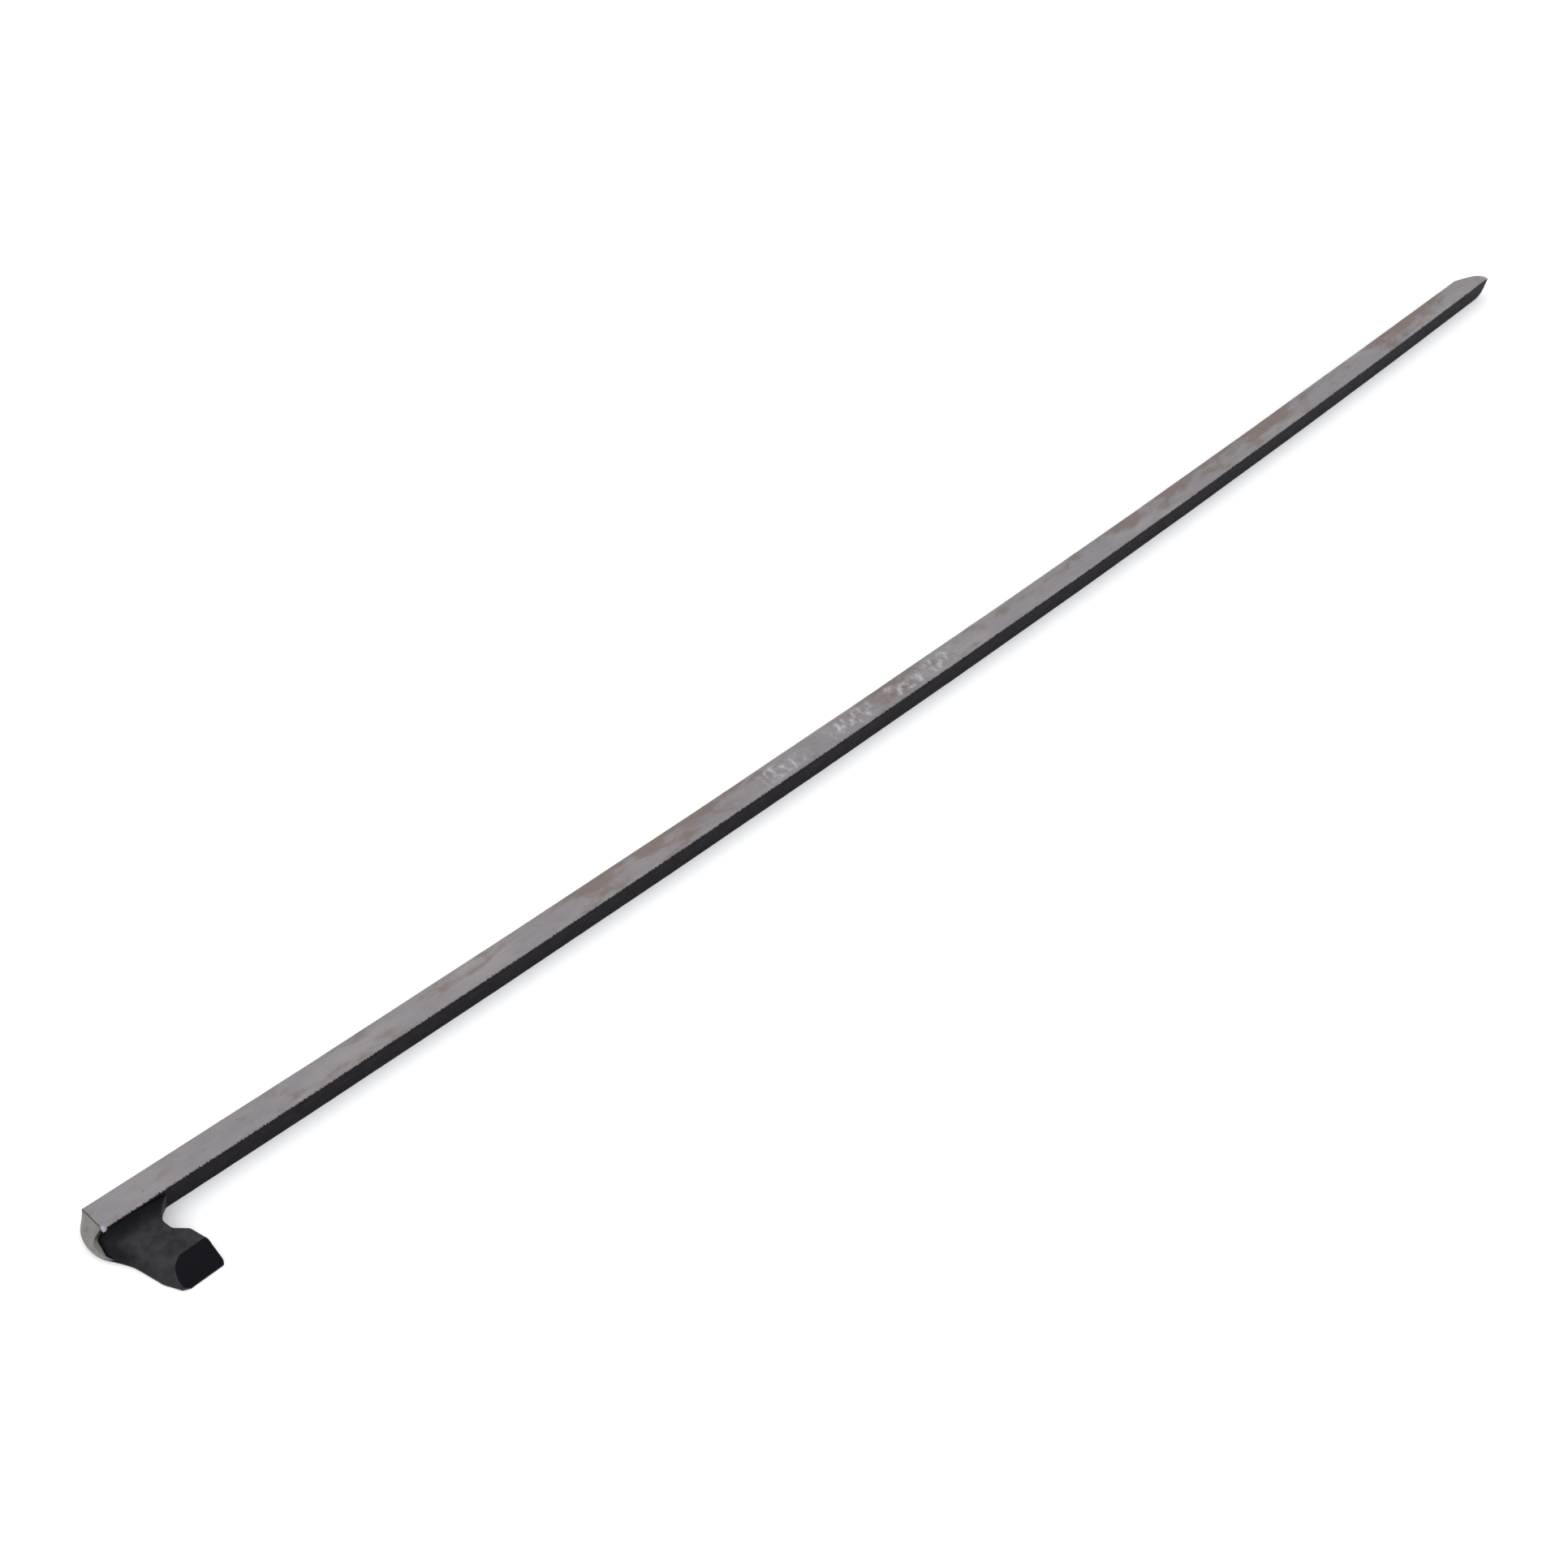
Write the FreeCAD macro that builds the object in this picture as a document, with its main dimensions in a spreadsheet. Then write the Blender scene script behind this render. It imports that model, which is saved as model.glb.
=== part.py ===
import FreeCAD, Part

import math
import os

import Sketcher

# A long square-bar rail spike, modelled as it lies on its side on a flat surface.
#
# Frame, in millimetres: +X runs along the shank from the head to the point, -Y is the
# side that the nose sticks out on, +Z is up, off the surface, and the origin is the
# middle of the spike's footprint on that surface.
# Each sub-part is drawn about the foot of the shank's head end, on its far side, and its
# Placement moves it to the frame. "Reach" is measured from there along -Y.

DRIVING_SIZES = [
    ("length", 800.0, "head end of the shank to the point"),
    ("bar_width", 10.0, "side of the square bar"),
    ("bow", 6.8, "how far the middle of the bar bows towards the nose side"),
    ("point_far", 21.0, "length of the point's facet on the far side"),
    ("point_near", 8.0, "length of its facet on the nose side"),
    ("point_top", 9.0, "length of its top facet"),
    ("point_foot", 9.5, "length of its bottom facet"),
    ("tip_side", 8.0, "the tip's distance from the far side of the bar"),
    ("tip_height", 6.6, "the tip's height above the surface"),
    ("tip_flat", 0.6, "side of the blunt square tip"),
    ("long_swell", 100.0, "radius of the point's far facet"),
    ("short_swell", 18.0, "radius of its other facets"),
    ("nose_height", 8.6, "nose, from the surface up"),
    ("back_round", 9.5, "radius of the nose's rounded back"),
    ("front_round", 1.2, "rounded top edge along the front of the nose"),
    ("lap_side", 1.2, "how much of the end of the bar the nose laps round"),
    ("slant_top", 20.0, "top edge of the slanted outer face, beyond the bar"),
    ("slant_foot", 27.8, "where that face would meet the surface, beyond the bar"),
    ("weld_leg_along", 9.5, "throat weld, along the bar, to where its face ends inside the bar"),
    ("weld_leg_out", 7.4, "throat weld, along the neck"),
    ("weld_hollow", 14.0, "radius of the throat weld's hollow face"),
    ("weld_inset", 0.2, "throat weld, below the nose's top and above its bottom"),
    ("root_weld_start", 0.6, "back end of the root weld"),
    ("root_weld_end", 15.5, "front end of the root weld"),
    ("root_weld_leg", 1.1, "root weld, up the side of the bar"),
    ("root_weld_out", 1.6, "root weld, across the nose"),
    ("heel_swell", 4.6, "how far the heel cap bulges behind the bar"),
    ("heel_swell_top", 0.5, "the same along its top edge"),
    ("heel_swell_foot", 3.3, "the same along its foot"),
    ("heel_belly", 4.0, "height of the heel cap's fullest section"),
    ("heel_reach", 7.2, "heel cap beyond the bar, at its fullest section"),
    ("heel_foot_reach", 6.2, "heel cap beyond the bar, at its foot"),
    ("window_sill", 4.6, "height of the heel cap's low leg behind the nose"),
    ("window_toe", 1.4, "height of that leg's far end"),
    ("window_round", 2.6, "inner corner of the heel cap"),
]

# The nose's cross-sections, from the lap round the bar to the lip. Each is given by its
# reach beyond the bar, the foot of its back, the crest where the rounded back meets the
# flat top, and its upright front. The front of lip_tip is left out, because the seat under
# the lip is flat: it follows from the fronts of lip_heel and crown.
NOSE_SECTIONS = [
    ("shoulder", 4.0, -1.8, 0.8, 16.2),
    ("waist", 8.0, 0.8, 4.4, 16.2),
    ("neck", 11.0, 2.4, 7.0, 16.6),
    ("lip_heel", 14.5, 3.4, 8.8, 20.6),
    ("crown", 21.0, 5.0, 12.2, 22.2),
    ("lip_tip", 26.2, 8.0, 14.2),
    ("outer", 27.2, 10.4, 15.4, 23.0),
]
NOSE_MEASURES = ("reach", "back", "crest", "front")


class Size:
    """A length that carries both its number and its spreadsheet expression."""

    def __init__(self, text, value):
        self.text = text
        self.value = value

    def __add__(self, other):
        return Size(f"({self.text} + {other.text})", self.value + other.value)

    def __sub__(self, other):
        return Size(f"({self.text} - {other.text})", self.value - other.value)

    def __neg__(self):
        return Size(f"(-1 * {self.text})", -self.value)

    def half(self):
        return Size(f"({self.text} / 2)", self.value / 2)


def make_sheet(doc):
    """Put the driving sizes in a spreadsheet, and return them by name."""
    sheet = doc.addObject("Spreadsheet::Sheet", "Sizes")
    sizes = {}
    nose_sizes = [
        (f"{name}_{measure}", value, f"{measure} of the nose's {name} section")
        for name, *values in NOSE_SECTIONS
        for measure, value in zip(NOSE_MEASURES, values)
    ]
    for row, (alias, value, meaning) in enumerate(DRIVING_SIZES + nose_sizes, start=1):
        sheet.set(f"A{row}", meaning)
        sheet.set(f"B{row}", str(value))
        sheet.setAlias(f"B{row}", alias)
        sizes[alias] = Size(f"Sizes.{alias}", value)
    doc.recompute()
    return sizes


def new_body(doc, s, name):
    """An empty body, placed so that the frame's origin is the middle of the footprint."""
    body = doc.addObject("PartDesign::Body", name)
    along = -(s["length"] - s["heel_swell"]).half()
    across = (s["bar_width"] + s["outer_reach"]).half()
    body.setExpression("Placement.Base.x", along.text)
    body.setExpression("Placement.Base.y", across.text)
    return body


def origin_plane(body, role):
    """The body's own origin plane with this role, such as XY_Plane."""
    return next(f for f in body.Origin.OriginFeatures if f.Role == role)


def add_sketch(body, role, name, height=None):
    """A new sketch on an origin plane, lifted by height along the plane's normal."""
    sketch = body.newObject("Sketcher::SketchObject", name)
    sketch.AttachmentSupport = (origin_plane(body, role), "")
    sketch.MapMode = "FlatFace"
    if height is not None:
        sketch.setExpression("AttachmentOffset.Base.z", height.text)
    return sketch


def pin(sketch, edge, end, corner):
    """Hold one end of an edge at a corner's two sizes."""
    for axis, size in (("DistanceX", corner[0]), ("DistanceY", corner[1])):
        index = sketch.addConstraint(Sketcher.Constraint(axis, -1, 1, edge, end, size.value))
        sketch.setExpression(f"Constraints[{index}]", size.text)


def arc_between(start, end, radius, side):
    """The arc with this radius from start to end, bulging to the right (1) or left (-1)."""
    chord = end - start
    middle = (start + end) * 0.5
    to_centre = math.sqrt(radius ** 2 - (chord.Length / 2) ** 2)
    rightward = FreeCAD.Vector(chord.y, -chord.x, 0).normalize() * side
    bulge = middle + rightward * (radius - to_centre)
    return Part.Arc(start, bulge, end)


def draw_outline(sketch, corners, bulges=None):
    """Draw a closed outline through corners. bulges gives (radius, side) per edge."""
    bulges = bulges or {}
    points = [FreeCAD.Vector(c[0].value, c[1].value, 0) for c in corners]
    for number, corner in enumerate(corners):
        start = points[number]
        end = points[(number + 1) % len(points)]
        following = corners[(number + 1) % len(corners)]
        if number not in bulges:
            edge = sketch.addGeometry(Part.LineSegment(start, end))
            pin(sketch, edge, 1, corner)
            pin(sketch, edge, 2, following)
            continue
        radius, side = bulges[number]
        edge = sketch.addGeometry(arc_between(start, end, radius.value, side))
        first, last = (1, 2) if sketch.getPoint(edge, 1).isEqual(start, 1e-6) else (2, 1)
        pin(sketch, edge, first, corner)
        pin(sketch, edge, last, following)
        index = sketch.addConstraint(Sketcher.Constraint("Radius", edge, radius.value))
        sketch.setExpression(f"Constraints[{index}]", radius.text)


def add_pad(body, sketch, name, height):
    pad = body.newObject("PartDesign::Pad", name)
    pad.Profile = sketch
    pad.setExpression("Length", height.text)
    sketch.Document.recompute()
    return pad


def add_pocket(body, sketch, name):
    """Cut the sketch through the whole body, both ways, and make sure it cut something."""
    before = body.Shape.Volume
    pocket = body.newObject("PartDesign::Pocket", name)
    pocket.Profile = sketch
    pocket.Type = "ThroughAll"
    pocket.Midplane = True
    sketch.Document.recompute()
    if not pocket.Shape.Volume < before:
        raise RuntimeError(f"{name} removes nothing")
    return pocket


def cut(doc, label, base, tools):
    """The base with the tools' room taken out of it, so that the pieces meet face to face."""
    result = base
    for tool in tools:
        step = doc.addObject("Part::Cut", f"{label}_less_{tool.Label}")
        step.Base = result
        step.Tool = tool
        result = step
    doc.recompute()
    result.Label = label
    return result


def bow_radius(s):
    """The radius of the circular arc that the bar bows along."""
    length = s["length"].value
    bow = s["bow"].value
    text = "((pow(Sizes.length; 2) / 4 + pow(Sizes.bow; 2)) / (2 * Sizes.bow))"
    return Size(text, (length ** 2 / 4 + bow ** 2) / (2 * bow))


def bow_at(s, from_tip):
    """How far the bowed bar lies from its chord, at this size's distance from the tip."""
    radius = bow_radius(s)
    half = s["length"].half()
    text = (
        f"(sqrt(pow({radius.text}; 2) - pow({half.text} - {from_tip.text}; 2))"
        f" - sqrt(pow({radius.text}; 2) - pow({half.text}; 2)))"
    )
    from_middle = half.value - from_tip.value
    value = math.sqrt(radius.value ** 2 - from_middle ** 2)
    return Size(text, value - math.sqrt(radius.value ** 2 - half.value ** 2))


def make_shank(doc, s, zero):
    """The bowed square bar, with its four-sided point."""
    body = new_body(doc, s, "Shank")
    length = s["length"]
    bar = s["bar_width"]
    half_flat = s["tip_flat"].half()

    # Both sides of the bar are arcs about one centre, and stop where the point begins.
    plan = add_sketch(body, "XY_Plane", "ShankPlan")
    corners = [
        (zero, -bar),
        (length - s["point_near"], -(bar + bow_at(s, s["point_near"]))),
        (length, -(s["tip_side"] + half_flat)),
        (length, -(s["tip_side"] - half_flat)),
        (length - s["point_far"], -bow_at(s, s["point_far"])),
        (zero, zero),
    ]
    near_side = (bow_radius(s) + bar.half(), 1)
    far_side = (bow_radius(s) - bar.half(), -1)
    bulges = {0: near_side, 1: (s["short_swell"], 1), 3: (s["long_swell"], 1), 4: far_side}
    draw_outline(plan, corners, bulges)
    add_pad(body, plan, "ShankBar", bar)

    # The top and bottom facets of the point are cut by two side-view wedges.
    past = length + bar
    facets = (
        ("PointTop", s["point_top"], bar, s["tip_height"] + half_flat, bar + bar, -1),
        ("PointFoot", s["point_foot"], zero, s["tip_height"] - half_flat, -bar, 1),
    )
    for name, from_tip, level, tip, away, side in facets:
        start = length - from_tip
        side_view = add_sketch(body, "XZ_Plane", f"{name}Outline")
        wedge = [(start, level), (length, tip), (past, tip), (past, away), (start, away)]
        draw_outline(side_view, wedge, {0: (s["short_swell"], side)})
        add_pocket(body, side_view, name)
    body.Label = "shank"
    return body


def nose_front(s, name):
    """The front of one of the nose's sections, which for lip_tip is in line with the seat."""
    if name != "lip_tip":
        return s[f"{name}_front"]
    start, end = s["lip_heel_front"], s["crown_front"]
    past, run = s["lip_tip_reach"] - s["lip_heel_reach"], s["crown_reach"] - s["lip_heel_reach"]
    text = f"({start.text} + {(end - start).text} * {past.text} / {run.text})"
    return Size(text, start.value + (end - start).value * past.value / run.value)


def make_nose_blank(doc, s, zero):
    """The forged nose before the bar's room is taken out of it."""
    body = new_body(doc, s, "NoseBlank")
    bar = s["bar_width"]
    top = s["nose_height"]
    front_round = s["front_round"]
    outlines = [
        ("Lap", bar - s["lap_side"], s["shoulder_back"], s["shoulder_crest"], s["shoulder_front"])
    ]
    for name, *_ in NOSE_SECTIONS:
        reach, back, crest = (s[f"{name}_{measure}"] for measure in NOSE_MEASURES[:3])
        outlines.append((name.title(), bar + reach, back, crest, nose_front(s, name)))

    sections = []
    for name, reach, back, crest, front in outlines:
        # Seen along +Y: up the rounded back, over the flat top, down the front.
        sketch = add_sketch(body, "XZ_Plane", f"Nose{name}", reach)
        corners = [
            (back, zero),
            (crest, top),
            (front - front_round, top),
            (front, top - front_round),
            (front, zero),
        ]
        back_round = s["back_round"]
        draw_outline(sketch, corners, {0: (back_round, -1), 2: (front_round, -1)})
        sections.append(sketch)
    doc.recompute()
    loft = body.newObject("PartDesign::AdditiveLoft", "NoseForm")
    loft.Profile = sections[0]
    loft.Sections = sections[1:]
    loft.Ruled = True
    doc.recompute()

    # The outer face leans back from its foot to its top edge.
    slant = add_sketch(body, "YZ_Plane", "NoseSlant")
    far = -(bar + s["slant_foot"] + bar)
    corners = [
        (-(bar + s["slant_foot"]), zero),
        (far, zero),
        (far, top + bar),
        (-(bar + s["slant_top"]), top + bar),
        (-(bar + s["slant_top"]), top),
    ]
    draw_outline(slant, corners)
    add_pocket(body, slant, "NoseOuterFace")
    body.Label = "nose_blank"
    return body


def make_heel_blank(doc, s, zero):
    """The heel cap before the room of the bar and the nose is taken out of it."""
    body = new_body(doc, s, "HeelBlank")
    bar = s["bar_width"]
    sections = []
    for name, height, reach, swell in (
        ("HeelFoot", zero, bar + s["heel_foot_reach"], s["heel_swell_foot"]),
        ("HeelBelly", s["heel_belly"], bar + s["heel_reach"], s["heel_swell"]),
        ("HeelTop", bar, bar, s["heel_swell_top"]),
    ):
        sketch = add_sketch(body, "XY_Plane", name, height)
        radius_text = f"(pow({reach.text}; 2) / (8 * {swell.text}) + {swell.text} / 2)"
        radius = Size(radius_text, reach.value ** 2 / (8 * swell.value) + swell.value / 2)
        draw_outline(sketch, [(zero, zero), (zero, -reach)], {1: (radius, -1)})
        sections.append(sketch)
    doc.recompute()
    loft = body.newObject("PartDesign::AdditiveLoft", "HeelForm")
    loft.Profile = sections[0]
    loft.Sections = sections[1:]
    loft.Ruled = True
    doc.recompute()

    # Above its low leg the cap only covers the bar's end, up to the nose's lap.
    window = add_sketch(body, "YZ_Plane", "HeelWindowOutline")
    side = -(bar - s["lap_side"])
    sill = s["window_sill"]
    rounding = s["window_round"]
    leg_end = -(bar + s["heel_reach"])
    corners = [
        (side, bar + bar),
        (side, sill + rounding),
        (side - rounding, sill),
        (leg_end, s["window_toe"]),
        (leg_end - bar, s["window_toe"]),
        (leg_end - bar, bar + bar),
    ]
    draw_outline(window, corners, {1: (rounding, -1)})
    add_pocket(body, window, "HeelWindow")
    body.Label = "heel_blank"
    return body


def make_throat_weld_blank(doc, s):
    """The hollow-faced weld in the corner between the neck and the bar."""
    body = new_body(doc, s, "ThroatWeldBlank")
    bar = s["bar_width"]
    corners = [
        (s["shoulder_front"], -bar.half()),
        (s["shoulder_front"] + s["weld_leg_along"], -bar.half()),
        (s["shoulder_front"] + s["weld_leg_along"], -bar),
        (s["shoulder_front"], -(bar + s["weld_leg_out"])),
    ]
    plan = add_sketch(body, "XY_Plane", "ThroatWeldPlan", s["weld_inset"])
    draw_outline(plan, corners, {2: (s["weld_hollow"], 1)})
    height = s["nose_height"] - s["weld_inset"] - s["weld_inset"]
    add_pad(body, plan, "ThroatWeldBead", height)
    body.Label = "throat_weld_blank"
    return body


def make_root_weld_blank(doc, s):
    """The weld along the top of the nose's root, in the corner against the bar's side."""
    body = new_body(doc, s, "RootWeldBlank")
    bar = s["bar_width"]
    profile = add_sketch(body, "YZ_Plane", "RootWeldProfile", s["root_weld_start"])
    corners = [
        (-bar.half(), s["nose_height"]),
        (-bar.half(), s["nose_height"] + s["root_weld_leg"]),
        (-bar, s["nose_height"] + s["root_weld_leg"]),
        (-(bar + s["root_weld_out"]), s["nose_height"]),
    ]
    draw_outline(profile, corners)
    add_pad(body, profile, "RootWeldBead", s["root_weld_end"] - s["root_weld_start"])
    body.Label = "root_weld_blank"
    return body


def export(pieces):
    """Check every piece, and write each to its own file."""
    os.makedirs("parts", exist_ok=True)
    for piece in pieces:
        for item in piece.Document.Objects:
            if "Invalid" in item.State or "Error" in item.State:
                raise RuntimeError(f"{item.Label} failed: {item.State}")
        if piece.Shape.isNull() or not piece.Shape.isValid():
            raise RuntimeError(f"{piece.Label} has no valid shape")
        piece.Shape.exportStep(f"parts/{piece.Label}.step")
        box = piece.Shape.BoundBox
        print(
            f"{piece.Label}: {len(piece.Shape.Solids)} solid, {piece.Shape.Volume:.1f} mm3,"
            f" X {box.XMin:.2f}..{box.XMax:.2f} Y {box.YMin:.2f}..{box.YMax:.2f}"
            f" Z {box.ZMin:.2f}..{box.ZMax:.2f}"
        )


def main():
    doc = FreeCAD.newDocument("RailSpike")
    s = make_sheet(doc)
    zero = Size("0", 0.0)
    shank = make_shank(doc, s, zero)
    nose = cut(doc, "nose", make_nose_blank(doc, s, zero), [shank])
    heel_cap = cut(doc, "heel_cap", make_heel_blank(doc, s, zero), [shank, nose])
    throat_weld = cut(doc, "throat_weld", make_throat_weld_blank(doc, s), [shank, nose])
    root_weld = cut(doc, "root_weld", make_root_weld_blank(doc, s), [shank, nose])
    export([shank, nose, heel_cap, throat_weld, root_weld])


main()
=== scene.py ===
import math
import random

import bmesh
import bpy
import numpy as np
from mathutils import Matrix, Vector, noise
from mathutils.bvhtree import BVHTree


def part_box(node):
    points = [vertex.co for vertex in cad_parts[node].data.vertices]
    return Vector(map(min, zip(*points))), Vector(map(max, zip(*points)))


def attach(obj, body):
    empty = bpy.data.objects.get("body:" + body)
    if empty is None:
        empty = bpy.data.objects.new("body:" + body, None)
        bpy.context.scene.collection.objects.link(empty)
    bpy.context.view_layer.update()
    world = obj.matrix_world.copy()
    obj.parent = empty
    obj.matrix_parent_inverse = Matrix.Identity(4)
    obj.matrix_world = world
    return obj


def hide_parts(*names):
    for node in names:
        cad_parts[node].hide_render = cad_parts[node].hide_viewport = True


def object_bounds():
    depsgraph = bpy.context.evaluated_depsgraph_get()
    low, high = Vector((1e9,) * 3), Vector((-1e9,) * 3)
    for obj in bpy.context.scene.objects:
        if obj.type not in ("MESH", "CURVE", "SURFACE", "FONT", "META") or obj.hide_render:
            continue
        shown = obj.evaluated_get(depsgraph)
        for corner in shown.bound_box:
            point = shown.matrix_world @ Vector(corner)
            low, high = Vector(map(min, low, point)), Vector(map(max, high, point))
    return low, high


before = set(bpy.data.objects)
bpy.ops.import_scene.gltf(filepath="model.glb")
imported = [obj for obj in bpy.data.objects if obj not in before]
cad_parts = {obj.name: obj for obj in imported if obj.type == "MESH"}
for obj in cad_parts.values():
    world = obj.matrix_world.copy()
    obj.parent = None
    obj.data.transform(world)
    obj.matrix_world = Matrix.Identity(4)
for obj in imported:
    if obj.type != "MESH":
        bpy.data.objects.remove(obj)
cad_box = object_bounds()

MM = 0.001
BODY = "root"
CUT_FACE = (0.0, -0.741, 0.672)     # the way the nose's slanted outer face looks

# Stretches of the bar with chalk and with brown stains, in millimetres from its head end.
CHALKED = ((288.0, 311.0), (326.0, 349.0), (358.0, 396.0))
STAINED = ((190.0, 275.0), (348.0, 380.0), (500.0, 640.0), (695.0, 765.0))


# ---------------------------------------------------------------- shared by the pieces


def tree_of(node):
    """A tree of a CAD node's faces, for finding its surface."""
    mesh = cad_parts[node].data
    return BVHTree.FromPolygons([v.co for v in mesh.vertices], [p.vertices for p in mesh.polygons])


def gap_to(points, nodes):
    """Each point's distance in millimetres from the nearest of these CAD nodes."""
    trees = [tree_of(n) for n in nodes]
    return [min(t.find_nearest(p)[3] for t in trees) / MM for p in points]


def wave(x, y=0.0, z=0.0, octaves=2):
    """Smooth noise from about -1 to 1, at a place given in whatever unit suits the pattern."""
    falloff, lacunarity = 0.8, 2.1
    return noise.fractal(Vector((x, y, z)), falloff, lacunarity, octaves)


def smoothstep(low, high, value):
    """Rises smoothly from 0 to 1 as value goes from low to high, whichever of them is larger."""
    t = min(1.0, max(0.0, (value - low) / (high - low)))
    return t * t * (3 - 2 * t)


def add_piece(name, mesh, nodes):
    """A finished piece that stands for these CAD nodes."""
    piece = bpy.data.objects.new(name, mesh)
    bpy.context.scene.collection.objects.link(piece)
    for polygon in mesh.polygons:
        polygon.use_smooth = True
    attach(piece, BODY)
    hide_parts(*nodes)
    return piece


def set_attribute(mesh, name, values):
    """Give the mesh a number at every vertex, for its material to read."""
    attribute = mesh.attributes.new(name, "FLOAT", "POINT")
    attribute.data.foreach_set("value", np.asarray(values, np.float32))


# ---------------------------------------------------------------- the square bar

# Lengths are in millimetres.
ARC_STEPS = 3            # faces round each edge of the bar
FLAT_POINTS = 6          # points across each side, between its edges
RING_SPACING = 0.75      # between the bar's rings of points
POINT_LENGTH = 24.0      # at the sharp end, where the rings are closer together
POINT_RINGS = 90         # rings there
END_MARGIN = 0.01        # keeps a measurement just inside the bar's end faces
FAR_TAPER = 0.55         # how much the far side draws in before the point
TAPER_REACH = (150, 20)  # before the tip, where that begins and where it is complete
TAPER_END = 6            # before the tip, where it begins to fade out again
NICKS = 170              # small nicks scattered along the near top edge
NICK_PLACE = (4, 795)    # along the bar
NICK_REACH = (0.8, 1.8)  # either way along the bar
NICK_DEPTH = (0.1, 0.4)  # as extra radius
CHIP = 0.9               # extra radius where the head end's near top corner is chipped
CHIP_REACH = (2.2, 0.2)  # from the head end, where the chip begins and where it is complete
LEAST_RADIUS = 0.12      # of an edge
MOST_RADIUS = 0.42       # of an edge, as a share of the bar's width there
DIP = 0.035              # the usual unevenness of a side
HEAD_REACH = 40.0        # from the head end, the part of the bar that can be near other pieces
FAR_GAP = 20.0           # the gap given to the rest of the bar
QUARTER_TURN = math.pi / 2

# Each edge has a mean radius, how much that sways, how fast it sways along the bar, and its own
# row of the noise. In order they are far top, near top, near foot and far foot.
EDGES = (
    (0.38, 0.12, 0.11, 3.0),
    (0.30, 0.10, 0.45, 7.0),
    (0.34, 0.10, 0.20, 11.0),
    (0.40, 0.10, 0.15, 15.0),
)
NEAR_TOP = 1
# The (y, z) way out of the bar at each edge, and the way in at the side that follows it.
OUTWARD = ((1, 1), (-1, 1), (-1, -1), (1, -1))
INWARD = ((0, -1), (1, 0), (0, 1), (-1, 0))


def bar_stations():
    """Places along the bar, closer together at the point."""
    low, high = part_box("shank")
    point = high.x - POINT_LENGTH * MM
    return [*np.arange(low.x, point, RING_SPACING * MM), *np.linspace(point, high.x, POINT_RINGS)]


def bar_sides():
    """The bar at every station: x, then where its near side (-Y), far side (+Y), foot and top are."""
    tree = tree_of("shank")
    margin = END_MARGIN * MM
    points = [v.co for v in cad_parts["shank"].data.vertices]
    end = max(p.x for p in points)
    tip = [p for p in points if p.x > end - margin]
    inside = sum(tip, Vector()) / len(tip)
    stations = bar_stations()
    ways = [Vector(way) for way in ((0, -1, 0), (0, 1, 0), (0, 0, -1), (0, 0, 1))]
    found = []
    for x in stations:
        x_safe = min(max(x, stations[0] + margin), stations[-1] - margin)
        start = Vector((x_safe, inside.y, inside.z))
        near, far, foot, top = [tree.ray_cast(start, way)[0] for way in ways]
        found.append((x, near.y, far.y, foot.z, top.z))
    return found


def edge_radii(along, nicks, most):
    """The radii in metres of the bar's four edges at one station, none of them above most."""
    nick = sum(
        depth * smoothstep(half, 0, abs(along - centre))
        for centre, half, depth in nicks if abs(along - centre) < half
    )
    radii = [mean + sway * wave(along * rate, row) for mean, sway, rate, row in EDGES]
    radii[NEAR_TOP] = radii[NEAR_TOP] + nick + CHIP * smoothstep(*CHIP_REACH, along)
    return [min(most, max(LEAST_RADIUS, radius) * MM) for radius in radii]


def bar_ring(along, near, far, foot, top, radii):
    """Points (y, z) round the bar at one station, and how squarely each faces up or down."""
    corners = ((far, top), (near, top), (near, foot), (far, foot))
    ring, facing = [], []
    for number, ((y, z), radius) in enumerate(zip(corners, radii)):
        centre_y = y - radius * OUTWARD[number][0]
        centre_z = z - radius * OUTWARD[number][1]
        for step in range(ARC_STEPS + 1):
            turn = number * QUARTER_TURN + step / ARC_STEPS * QUARTER_TURN
            ring.append((centre_y + radius * math.cos(turn), centre_z + radius * math.sin(turn)))
            facing.append(abs(math.sin(turn)))

        in_y, in_z = INWARD[number]
        after = (number + 1) % 4
        first = ring[-1]
        if in_z:
            last = (corners[after][0] - radii[after] * OUTWARD[after][0], z)
        else:
            last = (y, corners[after][1] - radii[after] * OUTWARD[after][1])
        for step in range(1, FLAT_POINTS + 1):
            t = step / (FLAT_POINTS + 1)
            y_flat = first[0] + (last[0] - first[0]) * t
            z_flat = first[1] + (last[1] - first[1]) * t
            # Dips are longer along the bar than across it, and vanish at the edges.
            uneven = 1 + wave(along * 0.09, y_flat / MM * 0.35, z_flat / MM * 0.35, 3)
            dip = DIP * MM * max(0.0, uneven) * math.sin(math.pi * t) ** 0.5
            ring.append((y_flat + in_y * dip, z_flat + in_z * dip))
            facing.append(abs(in_z))
    return ring, facing


def skin(name, rings):
    """A closed mesh through these rings of points, with a face over each end."""
    mesh = bpy.data.meshes.new(name)
    made = bmesh.new()
    rows = [[made.verts.new(point) for point in ring] for ring in rings]
    count = len(rings[0])
    for a, b in zip(rows, rows[1:]):
        for i in range(count):
            j = (i + 1) % count
            made.faces.new((a[i], b[i], b[j], a[j]))
    made.faces.new(rows[0])
    made.faces.new(list(reversed(rows[-1])))
    bmesh.ops.recalc_face_normals(made, faces=made.faces)
    made.to_mesh(mesh)
    made.free()
    return mesh


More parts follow.
